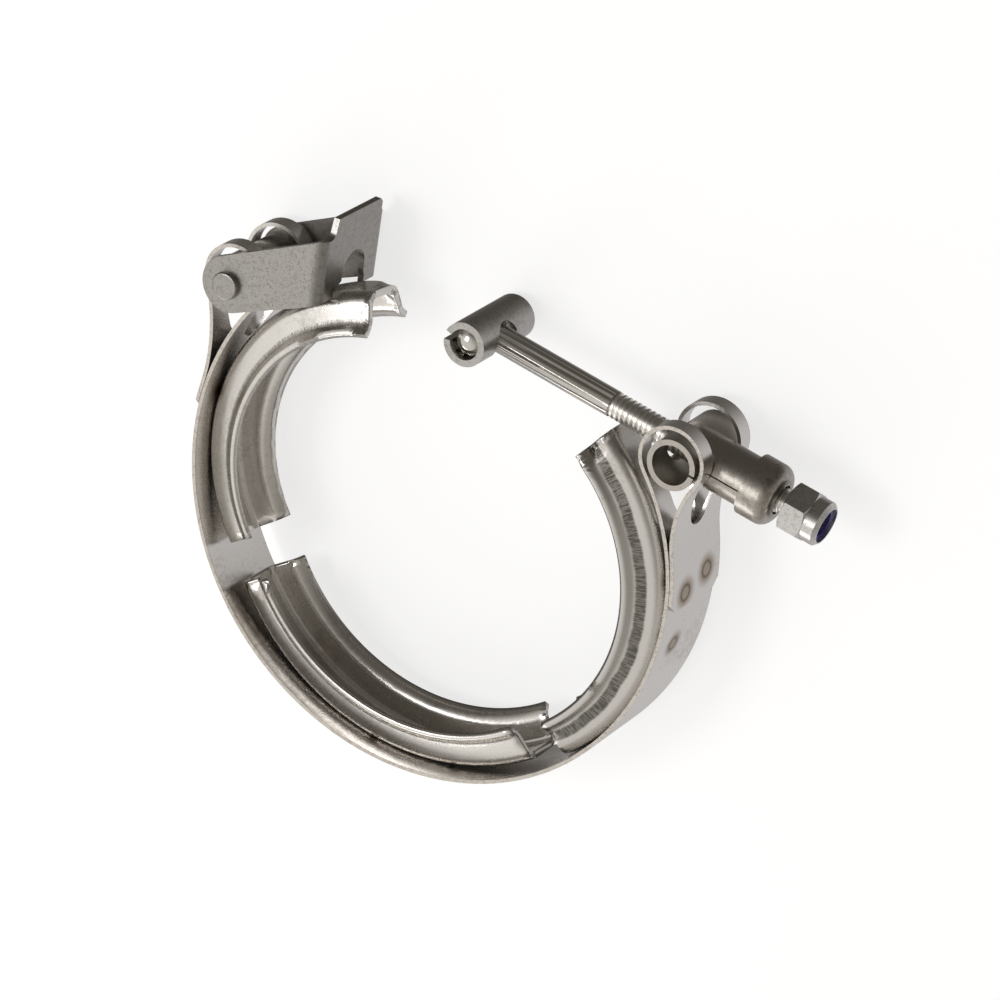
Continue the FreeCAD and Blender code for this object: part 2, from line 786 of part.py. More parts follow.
def build_t_bolt(document, size, head_centre):
    """T-bolt: domed cross head, plain shank and threaded end."""
    piece = Piece(document, "t_bolt")
    shank = size.shank_radius
    thread = size.thread_radius
    plain = size.plain_length
    end = size.bolt_length
    tip = size.bolt_chamfer
    points = [
        (0, 0),
        (end, 0),
        (end, thread - tip),
        (end - tip, thread),
        (plain + (shank - thread), thread),
        (plain, shank),
        (0, shank),
    ]
    sketch = piece.sketch("XY_Plane")
    piece.outline(sketch, polygon([Vector(x, y, 0) for x, y in points]))
    piece.revolve(sketch, "H_Axis")

    head = size.head_radius
    half = size.head_half_length
    dome = size.head_dome
    sphere = (head**2 + dome**2) / (2 * dome)
    sweep = math.degrees(math.asin(head / sphere))
    shoulder = half - dome
    profile = [
        Edge(Vector(0, -half, 0), Vector(head, -shoulder, 0), Vector(0, sphere - half, 0), sweep),
        Edge(Vector(head, -shoulder, 0), Vector(head, shoulder, 0)),
        Edge(Vector(head, shoulder, 0), Vector(0, half, 0), Vector(0, half - sphere, 0), sweep),
        Edge(Vector(0, half, 0), Vector(0, -half, 0)),
    ]
    sketch = piece.sketch("XZ_Plane")
    piece.outline(sketch, profile)
    piece.revolve(sketch, "V_Axis")
    piece.place(head_centre, size.bolt_angle)
    return piece


def build_head_sleeve(document, size, head_centre):
    """Rolled and slit sleeve on the T-bolt's head, pierced for the shank."""
    piece = Piece(document, "head_sleeve")
    middle = size.sleeve_radius - size.sleeve_wall / 2
    gap = math.degrees(2 * math.asin(size.sleeve_slit / 2 / middle))
    start = 180 + gap / 2
    roll = Track(direction(start) * middle, start + 90)
    roll.arc(middle, 360 - gap, "Sizes.sleeve_radius - Sizes.sleeve_wall / 2")
    sketch = piece.sketch("XY_Plane")
    piece.outline(sketch, roll.outline(size.sleeve_wall, "sleeve_wall"))
    piece.pad(sketch, "Sizes.sleeve_length", midplane=True)

    sketch = piece.sketch("YZ_Plane")
    piece.circle(sketch, "sleeve_hole", Vector(0, size.sleeve_shift, 0))
    piece.cut(sketch, "2 * Sizes.sleeve_radius", reverse=True)
    piece.place(head_centre - Vector(0, 0, size.sleeve_shift), size.bolt_angle)
    return piece


def build_nut(document, size, face_centre):
    """Hexagon lock nut with a round collar rolled in over the insert."""
    piece = Piece(document, "lock_nut")
    corner = size.nut_flats / math.sqrt(3)
    corners = [direction(60 * k) * corner for k in range(6)]
    sketch = piece.sketch("YZ_Plane")
    piece.outline(sketch, polygon(corners))
    piece.pad(sketch, "Sizes.nut_hex_height")

    collar = size.collar_radius
    wall = size.collar_wall
    foot = size.nut_hex_height
    top = size.nut_height
    lip = size.collar_lip
    root = foot - wall
    points = [
        (root, size.thread_radius + size.thread_gap),
        (root, collar),
        (top - lip, collar),
        (top, collar - lip),
        (top, size.thread_radius + size.thread_gap),
    ]
    sketch = piece.sketch("XY_Plane")
    piece.outline(sketch, polygon([Vector(x, y, 0) for x, y in points]))
    piece.revolve(sketch, "H_Axis")

    flat = size.nut_flats / 2
    slope = math.tan(math.radians(size.nut_chamfer_angle))
    reach = 2 * corner
    drop = (reach - flat) * slope
    for base, sense in ((0.0, 1), (foot, -1)):
        sketch = piece.sketch("XY_Plane")
        far = base - sense * drop
        points = [(base, flat), (base + sense * drop, reach), (far, reach), (far, flat)]
        if sense < 0:
            points = [(base, flat), (base - drop, reach), (base, reach)]
        piece.outline(sketch, polygon([Vector(x, y, 0) for x, y in points]))
        piece.groove(sketch, "H_Axis")

    bore = size.thread_radius + size.thread_gap
    seat = collar - wall
    shelf = top - lip - size.insert_height
    mouth = top - lip
    points = [
        (-foot, 0),
        (top + foot, 0),
        (top + foot, seat - lip / 2),
        (mouth, seat - lip / 2),
        (mouth, seat),
        (shelf, seat),
        (shelf, bore),
        (-foot, bore),
    ]
    sketch = piece.sketch("XY_Plane")
    piece.outline(sketch, polygon([Vector(x, y, 0) for x, y in points]))
    piece.groove(sketch, "H_Axis")
    piece.place(face_centre, size.bolt_angle)
    return piece


def build_nut_insert(document, size, face_centre):
    """Nylon ring captive in the nut's collar."""
    piece = Piece(document, "nut_insert")
    clear = size.insert_gap
    mouth = size.nut_height - size.collar_lip
    outer = size.collar_radius - size.collar_wall - clear
    inner = size.thread_radius + size.thread_gap
    low = mouth - size.insert_height + clear
    high = mouth - clear
    sketch = piece.sketch("XY_Plane")
    piece.outline(sketch, box_outline(low, inner, high, outer))
    piece.revolve(sketch, "H_Axis")
    piece.place(face_centre, size.bolt_angle)
    return piece


def build_model(document):
    """Every sub-part, in its place."""
    size = Size(document)
    plan = BandPlan(size)
    slack = size.loop_bore_radius - size.rest_gap
    pin_out = direction(size.pin_offset_angle) * (slack - size.spacer_radius)
    pin_centre = plan.left_loop + pin_out
    tube_out = direction(size.trunnion_offset_angle) * (slack - size.tube_radius)
    trunnion_centre = plan.right_loop + tube_out
    along = direction(size.bolt_angle)
    head_centre = trunnion_centre - along * size.bolt_reach
    nut_face = trunnion_centre + along * size.nut_standoff

    pieces = [build_band(document, size, plan)]
    for side in ("left", "lower", "right"):
        pieces.append(build_retainer(document, size, side))
    pieces.append(build_latch(document, size, pin_centre))
    pieces.append(build_latch_pin(document, size, pin_centre))
    pieces.append(build_latch_spacer(document, size, pin_centre))
    pieces.append(build_trunnion(document, size, trunnion_centre))
    pieces.append(build_trunnion_cap(document, size, trunnion_centre))
    pieces.append(build_t_bolt(document, size, head_centre))
    pieces.append(build_head_sleeve(document, size, head_centre))
    pieces.append(build_nut(document, size, nut_face))
    pieces.append(build_nut_insert(document, size, nut_face))
    document.recompute()
    print("pin centre", pin_centre)
    print("trunnion centre", trunnion_centre)
    print("head centre", head_centre)
    return pieces


def check(document, pieces):
    """Stop before anything is written if a feature failed or a shape is unsound."""
    for item in document.Objects:
        if "Invalid" in item.State or "Error" in item.State:
            raise RuntimeError(f"{item.Name} failed: {item.State}")
    for piece in pieces:
        shape = piece.body.Shape
        if shape.isNull() or not shape.isValid() or len(shape.Solids) != 1:
            raise RuntimeError(f"{piece.body.Label} is not one sound solid")


def main():
    document = FreeCAD.newDocument("v_band_clamp")
    pieces = build_model(document)
    check(document, pieces)
    os.makedirs("parts", exist_ok=True)
    for piece in pieces:
        piece.body.Shape.exportStep(f"parts/{piece.body.Label}.step")
        print(f"{piece.body.Label}: {piece.body.Shape.Volume:.1f} mm3")


main()
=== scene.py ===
"""Looks for an open V-band clamp: stainless strap, retainers, latch, T-bolt and lock nut."""

from __future__ import annotations

import json
import logging
import math
from dataclasses import dataclass, field
from enum import Enum

import bpy
from mathutils import Matrix, Vector

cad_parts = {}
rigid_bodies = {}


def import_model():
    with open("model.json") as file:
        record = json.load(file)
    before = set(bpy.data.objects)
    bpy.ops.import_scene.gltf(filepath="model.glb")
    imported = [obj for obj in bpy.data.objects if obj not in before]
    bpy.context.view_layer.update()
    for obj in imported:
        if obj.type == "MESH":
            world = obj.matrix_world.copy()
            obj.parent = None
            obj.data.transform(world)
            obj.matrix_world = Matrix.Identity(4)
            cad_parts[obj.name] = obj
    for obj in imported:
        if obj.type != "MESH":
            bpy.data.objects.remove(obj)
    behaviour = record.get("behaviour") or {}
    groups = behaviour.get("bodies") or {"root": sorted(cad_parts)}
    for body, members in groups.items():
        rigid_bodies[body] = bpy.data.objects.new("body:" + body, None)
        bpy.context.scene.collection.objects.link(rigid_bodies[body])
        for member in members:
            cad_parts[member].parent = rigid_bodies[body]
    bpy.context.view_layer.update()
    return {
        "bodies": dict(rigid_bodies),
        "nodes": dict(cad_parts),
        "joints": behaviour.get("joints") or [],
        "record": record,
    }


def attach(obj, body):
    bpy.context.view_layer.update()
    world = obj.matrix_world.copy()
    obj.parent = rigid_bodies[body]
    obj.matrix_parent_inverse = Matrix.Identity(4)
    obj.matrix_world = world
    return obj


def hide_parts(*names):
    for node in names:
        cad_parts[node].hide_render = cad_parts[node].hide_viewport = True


LOG = logging.getLogger("v_band_clamp")

MM = 0.001
MERGE_DISTANCE = 1e-6  # metres

# Edges sharper than these, in degrees, aren't shaded smooth.
PIECE_EDGE = 32.0
CHANNEL_EDGE = 55.0
THREAD_EDGE = 38.0

# Scales of the finishes' patterns, in features per metre.
CLOUD_SCALE = 55.0
FINE_SCALE = 900.0
STREAK_SCALE = 2600.0
TOOTH_SCALE = 3200.0
WAVER_SCALE = 400.0
NYLON_SCALE = 700.0

Colour = tuple[float, float, float]
Point = tuple[float, float, float]

FLECK: Colour = (0.16, 0.15, 0.135)
SHEARED: Colour = (0.55, 0.51, 0.46)
CRUMB: Colour = (0.27, 0.24, 0.2)
DARK_BAND: Colour = (0.17, 0.16, 0.14)
TOOTH: Colour = (0.05, 0.047, 0.04)
WELD_HALO: Colour = (0.3, 0.225, 0.15)
WELD_RING: Colour = (0.12, 0.085, 0.06)
WELD_CORE: Colour = (0.42, 0.37, 0.3)
BURN: Colour = (0.13, 0.085, 0.05)
PAINT: Colour = (0.05, 0.33, 0.24)


class Grain(Enum):
    """Direction of the fine lines in a metal."""

    AROUND = "around the piece's axis"
    NONE = "tumbled, with no direction"


class Wire:
    """One socket of a node tree, with arithmetic that adds Math nodes."""

    def __init__(self, graph: Graph, socket: bpy.types.NodeSocket) -> None:
        """Wrap a socket of one of a graph's nodes."""
        self.graph = graph
        self.socket = socket

    def __add__(self, other: Wire | float) -> Wire:
        """Return the sum."""
        return self.graph.math("ADD", self, other)

    def __sub__(self, other: Wire | float) -> Wire:
        """Return the difference."""
        return self.graph.math("SUBTRACT", self, other)

    def __rsub__(self, other: float) -> Wire:
        """Return a number less this wire."""
        return self.graph.math("SUBTRACT", other, self)

    def __mul__(self, other: Wire | float) -> Wire:
        """Return the product."""
        return self.graph.math("MULTIPLY", self, other)

    __radd__ = __add__
    __rmul__ = __mul__

    def __pow__(self, other: float) -> Wire:
        """Return the power."""
        return self.graph.math("POWER", self, other)

    def __abs__(self) -> Wire:
        """Return the size without its sign."""
        return self.graph.math("ABSOLUTE", self)

    def clamp(self, low: float, high: float) -> Wire:
        """Return the wire held between two limits."""
        return self.graph.math("MINIMUM", self.graph.math("MAXIMUM", self, low), high)

    def fade(self, start: float, end: float) -> Wire:
        """Step smoothly from 0 at start to 1 at end.

        Args:
            start: Value that gives 0.
            end: Value that gives 1; it may be below start.

        Returns:
            The stepped wire.
        """
        falls = end < start
        inputs = {
            "Value": self,
            "From Min": min(start, end),
            "From Max": max(start, end),
            "To Min": 1.0 if falls else 0.0,
            "To Max": 0.0 if falls else 1.0,
        }
        settings = {"interpolation_type": "SMOOTHSTEP"}
        return self.graph.add("ShaderNodeMapRange", settings, inputs, "Result")


Value = Wire | float | Colour


class Graph:
    """Builder for the nodes of one material or of the surround."""

    def __init__(self, owner: bpy.types.Material | bpy.types.World) -> None:
        """Start with an empty node tree.

        Args:
            owner: What the nodes belong to.
        """
        owner.use_nodes = True
        self.owner = owner
        self.tree = owner.node_tree
        self.tree.nodes.clear()

    def add(
        self, kind: str, settings: dict[str, object], inputs: dict[str | int, Value], output: str | int = 0
    ) -> Wire:
        """Add a node.

        Args:
            kind: The node's type.
            settings: Its own settings, which are made first.
            inputs: A wire, number or colour for each socket, by name or place.
            output: The socket to return.

        Returns:
            That output.
        """
        node = self.tree.nodes.new(kind)
        for name, value in settings.items():
            setattr(node, name, value)
        for key, value in inputs.items():
            socket = node.inputs[key]
            if isinstance(value, Wire):
                self.tree.links.new(value.socket, socket)
            elif isinstance(value, tuple) and len(socket.default_value) == 4:
                socket.default_value = (*value, 1.0)
            else:
                socket.default_value = value
        return Wire(self, node.outputs[output]) if node.outputs else Wire(self, node.inputs[0])

    def math(self, operation: str, *values: Wire | float) -> Wire:
        """Return the result of a Math node on some values."""
        return self.add("ShaderNodeMath", {"operation": operation}, dict(enumerate(values)))

    def place(self) -> Wire:
        """Return the position on the piece."""
        return self.add("ShaderNodeTexCoord", {}, {}, "Object")

    def split(self, source: Wire) -> tuple[Wire, Wire, Wire]:
        """Return a position's x, y and z."""
        first = self.add("ShaderNodeSeparateXYZ", {}, {0: source})
        return tuple(Wire(self, socket) for socket in first.socket.node.outputs)

    def join(self, x: Wire | float, y: Wire | float, z: Wire | float) -> Wire:
        """Return the position with the given parts."""
        return self.add("ShaderNodeCombineXYZ", {}, {0: x, 1: y, 2: z})

    def noise(self, source: Wire, scale: float, detail: float = 4.0, rough: float = 0.55) -> Wire:
        """Return a noise pattern between 0 and 1, with its scale in features per metre."""
        inputs = {"Vector": source, "Scale": scale, "Detail": detail, "Roughness": rough}
        return self.add("ShaderNodeTexNoise", {}, inputs)

    def blend(self, share: Wire, low: Value, high: Value) -> Wire:
        """Mix two colours: a share of 0 gives low and 1 gives high."""
        return self.add("ShaderNodeMix", {"data_type": "RGBA"}, {0: share, 6: low, 7: high}, 2)

    def surface(self, inputs: dict[str, Value], height: Wire, depth: float) -> None:
        """Close a material with its shader.

        Args:
            inputs: The shader's own sockets.
            height: Bump height between 0 and 1.
            depth: Bump distance in metres.
        """
        bump = self.add("ShaderNodeBump", {}, {"Strength": 1.0, "Distance": depth, "Height": height})
        shader = self.add("ShaderNodeBsdfPrincipled", {}, {**inputs, "Normal": bump})
        self.add("ShaderNodeOutputMaterial", {}, {"Surface": shader})


@dataclass
class Skin:
    """A metal surface that takes its marks one after another.

    Attributes:
        graph: The material's graph.
        colour: Its colour so far.
        rough: Its roughness so far.
        height: Its bump height so far, in shares of the bump distance.
        pits: The pattern of its pitting.
        fine: A fine pattern that frays the marks.
    """

    graph: Graph
    colour: Wire
    rough: Wire
    height: Wire
    pits: Wire
    fine: Wire

    def tint(self, share: Wire, colour: Colour) -> None:
        """Lay a colour over the skin: a share of 0 hides it and 1 shows it in full."""
        self.colour = self.graph.blend(share, self.colour, colour)


@dataclass(frozen=True)
class Spot:
    """A round mark on the part.

    Attributes:
        x: Its place along X, in millimetres.
        y: Its place along Y, in millimetres.
        z: Its place along Z, in millimetres.
        radius: Its radius, in millimetres.
    """

    x: float
    y: float
    z: float
    radius: float = 1.9

    def reach(self, skin: Skin, fray: float) -> Wire:
        """Measure from the spot.

        Args:
            skin: The surface it is on.
            fray: How far its outline wanders, in its own radii.

        Returns:
            The distance from the spot, in its own radii.
        """
        graph = skin.graph
        x, y, z = graph.split(graph.place())
        dx, dy, dz = x - self.x * MM, y - self.y * MM, z - self.z * MM
        distance = (dx * dx + dy * dy + dz * dz) ** 0.5 * (1 / (self.radius * MM))
        return distance + (skin.fine - 0.5) * fray


@dataclass(frozen=True)
class Hoop:
    """A darker band with short serrations round a retainer, about its own axis.

    Attributes:
        radius: Middle of the band, in millimetres.
        half_width: Half its width, in millimetres.
        dark: How dark it is.
    """

    radius: float
    half_width: float
    dark: float


@dataclass(frozen=True)
class Steel:
    """Stainless steel finish.

    Attributes:
        name: The material's name.
        light: Colour of the clean metal.
        dark: Colour of its stains and hollows.
        rough: Middle roughness.
        spread: How far the roughness wanders.
        grain: Direction of the fine lines.
        axis: Centre that the lines run round, in millimetres.
        lines: Depth of the fine lines, in millimetres.
        speckle: Depth of the fine pitting, in millimetres.
        fleck: How strongly the pitting shows as darker flecks.
        grit: Pits per metre.
        stain: How much of the surface the dark colour reaches.
        sheared: Height of the sheared edges above mid-plane, in millimetres, or 0.
        welds: Spot welds, each a dimple with a heat-tinted rim.
        burns: Heat stains.
        hoops: Darker bands with short serrations.
        ticks: Smears of green marking paint.
    """

    name: str
    light: Colour
    dark: Colour
    rough: float
    spread: float = 0.08
    grain: Grain = Grain.NONE
    axis: tuple[float, float] = (0.0, 0.0)
    lines: float = 0.0
    speckle: float = 0.004
    fleck: float = 0.0
    grit: float = 2400.0
    stain: float = 0.35
    sheared: float = 0.0
    welds: tuple[Spot, ...] = ()
    burns: tuple[Spot, ...] = ()
    hoops: tuple[Hoop, ...] = ()
    ticks: tuple[Spot, ...] = ()

    def _round(self, graph: Graph) -> tuple[Wire, Wire, Wire]:
        """Measure round the finish's axis.

        Args:
            graph: The material's graph.

        Returns:
            The distance from the axis, the angle about it and the height.
        """
        x, y, z = graph.split(graph.place())
        dx, dy = x - self.axis[0] * MM, y - self.axis[1] * MM
        return (dx * dx + dy * dy) ** 0.5, graph.math("ARCTAN2", dy, dx), z

    def _streaks(self, graph: Graph) -> Wire:
        """Draw the fine lines that run along the grain.

        Args:
            graph: The material's graph.

        Returns:
            The lines, between 0 and 1.
        """
        if self.grain is Grain.AROUND:
            radius, angle, z = self._round(graph)
            source = graph.join(radius, z, angle * 0.004)
        else:
            source = graph.place()
        return graph.noise(source, STREAK_SCALE, 3.0, 0.6)

    def _bare(self, graph: Graph) -> Skin:
        """Draw the metal before its marks.

        Args:
            graph: The material's graph.

        Returns:
            The bare surface.
        """
        place = graph.place()
        cloud = graph.noise(place, CLOUD_SCALE, 5.0, 0.6)
        fine = graph.noise(place, FINE_SCALE, 4.0, 0.65)
        pits = graph.noise(place, self.grit, 2.0, 0.5)
        streaks = self._streaks(graph)
        stain = (cloud * 0.6 + fine * 0.4).fade(0.62 - 0.3 * self.stain, 0.36) * self.stain
        rough = (cloud - 0.5) * (2 * self.spread) + self.rough
        rough = rough + (streaks - 0.5) * self.spread + (pits - 0.5) * self.spread
        depth = self.lines + self.speckle
        height = streaks * (self.lines / depth) + pits * (self.speckle / depth)
        return Skin(graph, graph.blend(stain, self.light, self.dark), rough, height, pits, fine)

    def _shear(self, skin: Skin) -> None:
        """Break the metal at its sheared edges, which are pale and torn.

        Args:
            skin: The surface.
        """
        z = skin.graph.split(skin.graph.place())[2]
        edge = abs(z).fade((self.sheared - 0.22) * MM, (self.sheared - 0.08) * MM)
        crumbs = (skin.pits * 0.5 + skin.fine * 0.5).fade(0.5, 0.42)
        skin.tint(edge * 0.8, SHEARED)
        skin.tint(edge * crumbs * 0.5, CRUMB)
        skin.height = skin.height + edge * skin.fine * 4.0
        skin.rough = skin.rough + edge * 0.15

    def _press(self, skin: Skin, hoop: Hoop) -> None:
        """Darken a band of the front flank and press short serrations into it.

        Args:
            skin: The surface.
            hoop: The band.
        """
        graph = skin.graph
        radius, angle, z = self._round(graph)
        source = graph.join(angle * 0.05, radius * 0.1, z * 0.1)
        teeth = graph.noise(source, TOOTH_SCALE, 2.0, 0.6)
        waver = graph.noise(graph.join(angle * 0.012, 0.0, 0.0), WAVER_SCALE, 3.0, 0.6)
        middle = radius * (1 / MM) - hoop.radius + (waver - 0.5) * hoop.half_width
        front = z.fade(0.0, 4.0 * MM)
        band = abs(middle).fade(hoop.half_width, hoop.half_width * 0.55) * front
        mark = band * teeth.fade(0.42, 0.56)
        skin.tint(band * hoop.dark, DARK_BAND)
        skin.tint(mark * hoop.dark * 0.8, TOOTH)
        skin.height = skin.height - mark * 2.5

    def _weld(self, skin: Skin, spot: Spot) -> None:
        """Mark a spot weld: a rough dimple, its dark rim and a brown halo.

        Args:
            skin: The surface.
            spot: The weld.
        """
        reach = spot.reach(skin, 0.25)
        halo = reach.fade(2.6, 0.9)
        ring = abs(reach - 1.0).fade(0.35, 0.0)
        core = reach.fade(0.85, 0.6)
        skin.tint(halo * 0.85, WELD_HALO)
        skin.tint(ring * 0.7, WELD_RING)
        skin.tint(core * 0.8, WELD_CORE)
        skin.height = skin.height + ring * 3.0 - core * 1.5 + core * skin.fine * 3.0
        skin.rough = skin.rough + halo * 0.12

    def build(self) -> bpy.types.Material:
        """Return the finish as a material."""
        graph = Graph(bpy.data.materials.new(self.name))
        skin = self._bare(graph)
        if self.fleck:
            skin.tint((skin.pits * 0.6 + skin.fine * 0.4).fade(0.5, 0.4) * self.fleck, FLECK)
        if self.sheared:
            self._shear(skin)
        for hoop in self.hoops:
            self._press(skin, hoop)
        for spot in self.welds:
            self._weld(skin, spot)
        for spot in self.burns:
            skin.tint(spot.reach(skin, 0.9).fade(1.0, 0.2) * 0.7, BURN)
        for spot in self.ticks:
            skin.tint(spot.reach(skin, 1.6).fade(0.8, 0.5) * 0.6, PAINT)
        inputs = {"Metallic": 1.0, "Base Color": skin.colour, "Roughness": skin.rough.clamp(0.08, 0.75)}
        graph.surface(inputs, skin.height, (self.lines + self.speckle) * MM)
        return graph.owner


@dataclass(frozen=True)
class Nylon:
    """Dyed nylon of the lock nut's insert.

    Attributes:
        name: The material's name.
        colour: Its dye.
        worn: The dye where it is rubbed.
    """

    name: str = "dyed_nylon"
    colour: Colour = (0.02, 0.016, 0.12)
    worn: Colour = (0.06, 0.05, 0.28)

    def build(self) -> bpy.types.Material:
        """Return the finish as a material."""
        graph = Graph(bpy.data.materials.new(self.name))
        cloud = graph.noise(graph.place(), NYLON_SCALE)
        tone = graph.blend(cloud.fade(0.4, 0.7), self.colour, self.worn)
        graph.surface({"Base Color": tone, "Roughness": cloud * 0.15 + 0.25}, cloud, 0.01 * MM)
        return graph.owner


def dress(piece: bpy.types.Object, material: bpy.types.Material) -> None:
    """Give a piece one material all over."""
    piece.data.materials.clear()
    piece.data.materials.append(material)


def deselect() -> None:
    """Leave nothing selected or active."""
    bpy.ops.object.select_all(action="DESELECT")
    bpy.context.view_layer.objects.active = None


def activate(piece: bpy.types.Object) -> None:
    """Select one piece alone and make it active.

    Args:
        piece: The piece.
    """
    deselect()
    piece.select_set(True)
    bpy.context.view_layer.objects.active = piece


def merged_copy(node: bpy.types.Object, name: str) -> bpy.types.Object:
    """Copy a CAD node and join its loose triangles.

    Args:
        node: The node.
        name: The copy's name.

    Returns:
        The copy, selected and active, in edit mode.
    """
    copy = node.copy()
    copy.data = node.data.copy()
    copy.name = name
    bpy.context.collection.objects.link(copy)
    activate(copy)
    bpy.ops.object.mode_set(mode="EDIT")
    bpy.ops.mesh.select_mode(type="VERT")
    bpy.ops.mesh.select_all(action="SELECT")
    bpy.ops.mesh.remove_doubles(threshold=MERGE_DISTANCE)
    return copy


def soften(piece: bpy.types.Object, angle: float) -> None:
    """Shade a piece smooth, apart from its sharp edges.

    Args:
        piece: The piece.
        angle: Edges sharper than this, in degrees, stay sharp.
    """
    activate(piece)
    bpy.ops.object.shade_smooth_by_angle(angle=math.radians(angle))
    piece.select_set(False)


@dataclass(frozen=True)
class Dent:
    """A crushed corner at a retainer's cropped end.

    Attributes:
        angle: Angle of the cropped end about the retainer's axis, in degrees.
        inward: Which way round from that end the metal lies, 1 or -1.
        radius: Distance of the dent from that axis, in millimetres.
        z: Its height, in millimetres.
        outward: How far it is pushed away from the axis, in millimetres.
        lift: How far it is pushed up, in millimetres.
        reach: How far the push spreads, in millimetres.
        core: Radius of what is pushed the whole way, in millimetres.
        cuts: Angles from the end at which the metal is divided, in degrees.
    """

    angle: float
    inward: int
    radius: float
    z: float
    outward: float
    lift: float
    reach: float = 3.6
    core: float = 1.1
    cuts: tuple[float, ...] = (0.5, 1.0, 1.6, 2.2, 3.0, 4.0, 5.5)

    def press(self, piece: bpy.types.Object, centre: Vector) -> None:
        """Crush the corner.

        Args:
            piece: The retainer, active and in edit mode. It is left in object mode.
            centre: The place of the retainer's axis, in metres.
        """
        end = math.radians(self.angle)
        for cut in self.cuts:
            angle = end + self.inward * math.radians(cut)
            bpy.ops.mesh.select_all(action="SELECT")
            bpy.ops.mesh.bisect(plane_co=centre, plane_no=(-math.sin(angle), math.cos(angle), 0.0))
        bpy.ops.mesh.select_all(action="DESELECT")
        bpy.ops.object.mode_set(mode="OBJECT")
        away = Vector((math.cos(end), math.sin(end), 0.0))
        spot = centre + away * (self.radius * MM) + Vector((0.0, 0.0, self.z * MM))
        for corner in piece.data.vertices:
            corner.select = (corner.co - spot).length < self.core * MM
        bpy.ops.object.mode_set(mode="EDIT")
        bpy.ops.transform.translate(
            value=away * (self.outward * MM) + Vector((0.0, 0.0, self.lift * MM)),
            use_proportional_edit=True,
            proportional_edit_falloff="SMOOTH",
            proportional_size=self.reach * MM,
        )
        bpy.ops.object.mode_set(mode="OBJECT")


@dataclass(frozen=True)
class Retainer:
    """One V-section segment, with the place of its own axis.

    Attributes:
        side: Its place on the band.
        crown: Outside radius, in millimetres.
        touch: Angle at which it touches the band, in degrees.
        dent: The crushed corner at one of its ends.
        hoops: Its darker bands with short serrations.
        ticks: Its paint marks.
        tone: How light its metal is; below 1 it is painted shade, a darker copy of the same drawn finish.
    """

    side: str
    crown: float
    touch: float
    dent: Dent
    hoops: tuple[Hoop, ...] = ()
    ticks: tuple[Spot, ...] = ()
    tone: float = 1.0

    def axis(self, seat: float) -> tuple[float, float]:
        """Return the centre of its curve, for the band's inside radius, in millimetres."""
        away, angle = seat - self.crown, math.radians(self.touch)
        return away * math.cos(angle), away * math.sin(angle)

    def crush(self, node: bpy.types.Object, seat: float) -> bpy.types.Object:
        """Copy the retainer and crush its cropped end.

        Args:
            node: The retainer's node.
            seat: The band's inside radius, in millimetres.

        Returns:
            The crushed retainer.
        """
        piece = merged_copy(node, f"cropped_retainer_{self.side}")
        self.dent.press(piece, Vector((*self.axis(seat), 0.0)) * MM)
        soften(piece, CHANNEL_EDGE)
        activate(piece)
        even = piece.modifiers.new("even", "WEIGHTED_NORMAL")
        even.keep_sharp = True
        bpy.ops.object.modifier_apply(modifier="even")
        return piece

    def finish(self, seat: float) -> Steel:
        """Describe the retainer's drawn finish.

        Args:
            seat: The band's inside radius, in millimetres.

        Returns:
            The finish.
        """
        return Steel(
            f"drawn_channel_{self.side}",
            # A tone below 1 is painted shade: the same drawn finish, darkened.
            tuple(part * self.tone for part in (0.76, 0.735, 0.70)),
            (0.42, 0.38, 0.33),
            0.25,
            grain=Grain.AROUND,
            axis=self.axis(seat),
            lines=0.0024,
            speckle=0.0014,
            stain=0.4,
            hoops=self.hoops,
            ticks=self.ticks,
        )


@dataclass
class Strap:
    """Sprung band and its three retainers.

    Attributes:
        nodes: The part's nodes, by name.
        seat: The band's inside radius, in millimetres.
        retainers: The retainers.
        strip: The band's finish.
    """

    nodes: dict[str, bpy.types.Object]
    seat: float = 62.75
    retainers: tuple[Retainer, ...] = (
        Retainer(
            "left",
            48.4,
            171.6,
            Dent(93.85, 1, 47.0, -4.4, -0.9, 0.8),
            hoops=(Hoop(41.9, 0.8, 0.4),),
            ticks=(Spot(-51.0, -12.6, 8.0, 1.2), Spot(-51.9, -9.8, 8.0, 1.0)),
        ),
        Retainer("lower", 57.0, 253.8, Dent(203.9, 1, 50.4, 6.6, 0.9, -1.2)),
        Retainer(
            "right",
            53.0,
            -47.5,
            Dent(44.25, -1, 46.2, 6.9, 0.9, -1.3),
            hoops=(Hoop(47.8, 1.6, 0.85),),
            # Painted shade: this retainer's metal is darkened to look more shaded than the other two.
            tone=0.84,
        ),
    )
    strip: Steel = Steel(
        "rolled_strip",
        (0.74, 0.715, 0.69),
        (0.40, 0.345, 0.285),
        0.26,
        grain=Grain.AROUND,
        lines=0.0016,
        speckle=0.0012,
        stain=0.45,
        sheared=10.8,
        welds=(
            Spot(64.6, -5.0, 4.75),
            Spot(64.7, -2.6, -4.75),
            Spot(60.9, -18.6, 3.5, 1.6),
            Spot(-61.9, 18.7, 4.75),
            Spot(-61.9, 18.7, -4.75),
        ),
        burns=(Spot(-17.5, -60.3, 5.6, 2.0), Spot(4.0, -62.7, 5.4, 1.6)),
    )

    def build(self) -> None:
        """Dress the band and build its retainers."""
        dress(self.nodes["band"], self.strip.build())
        for retainer in self.retainers:
            name = f"retainer_{retainer.side}"
            piece = retainer.crush(self.nodes[name], self.seat)
            dress(piece, retainer.finish(self.seat).build())
            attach(piece, "strap")
            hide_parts(name)
            LOG.info("%s built", piece.name)
        LOG.info("band dressed")


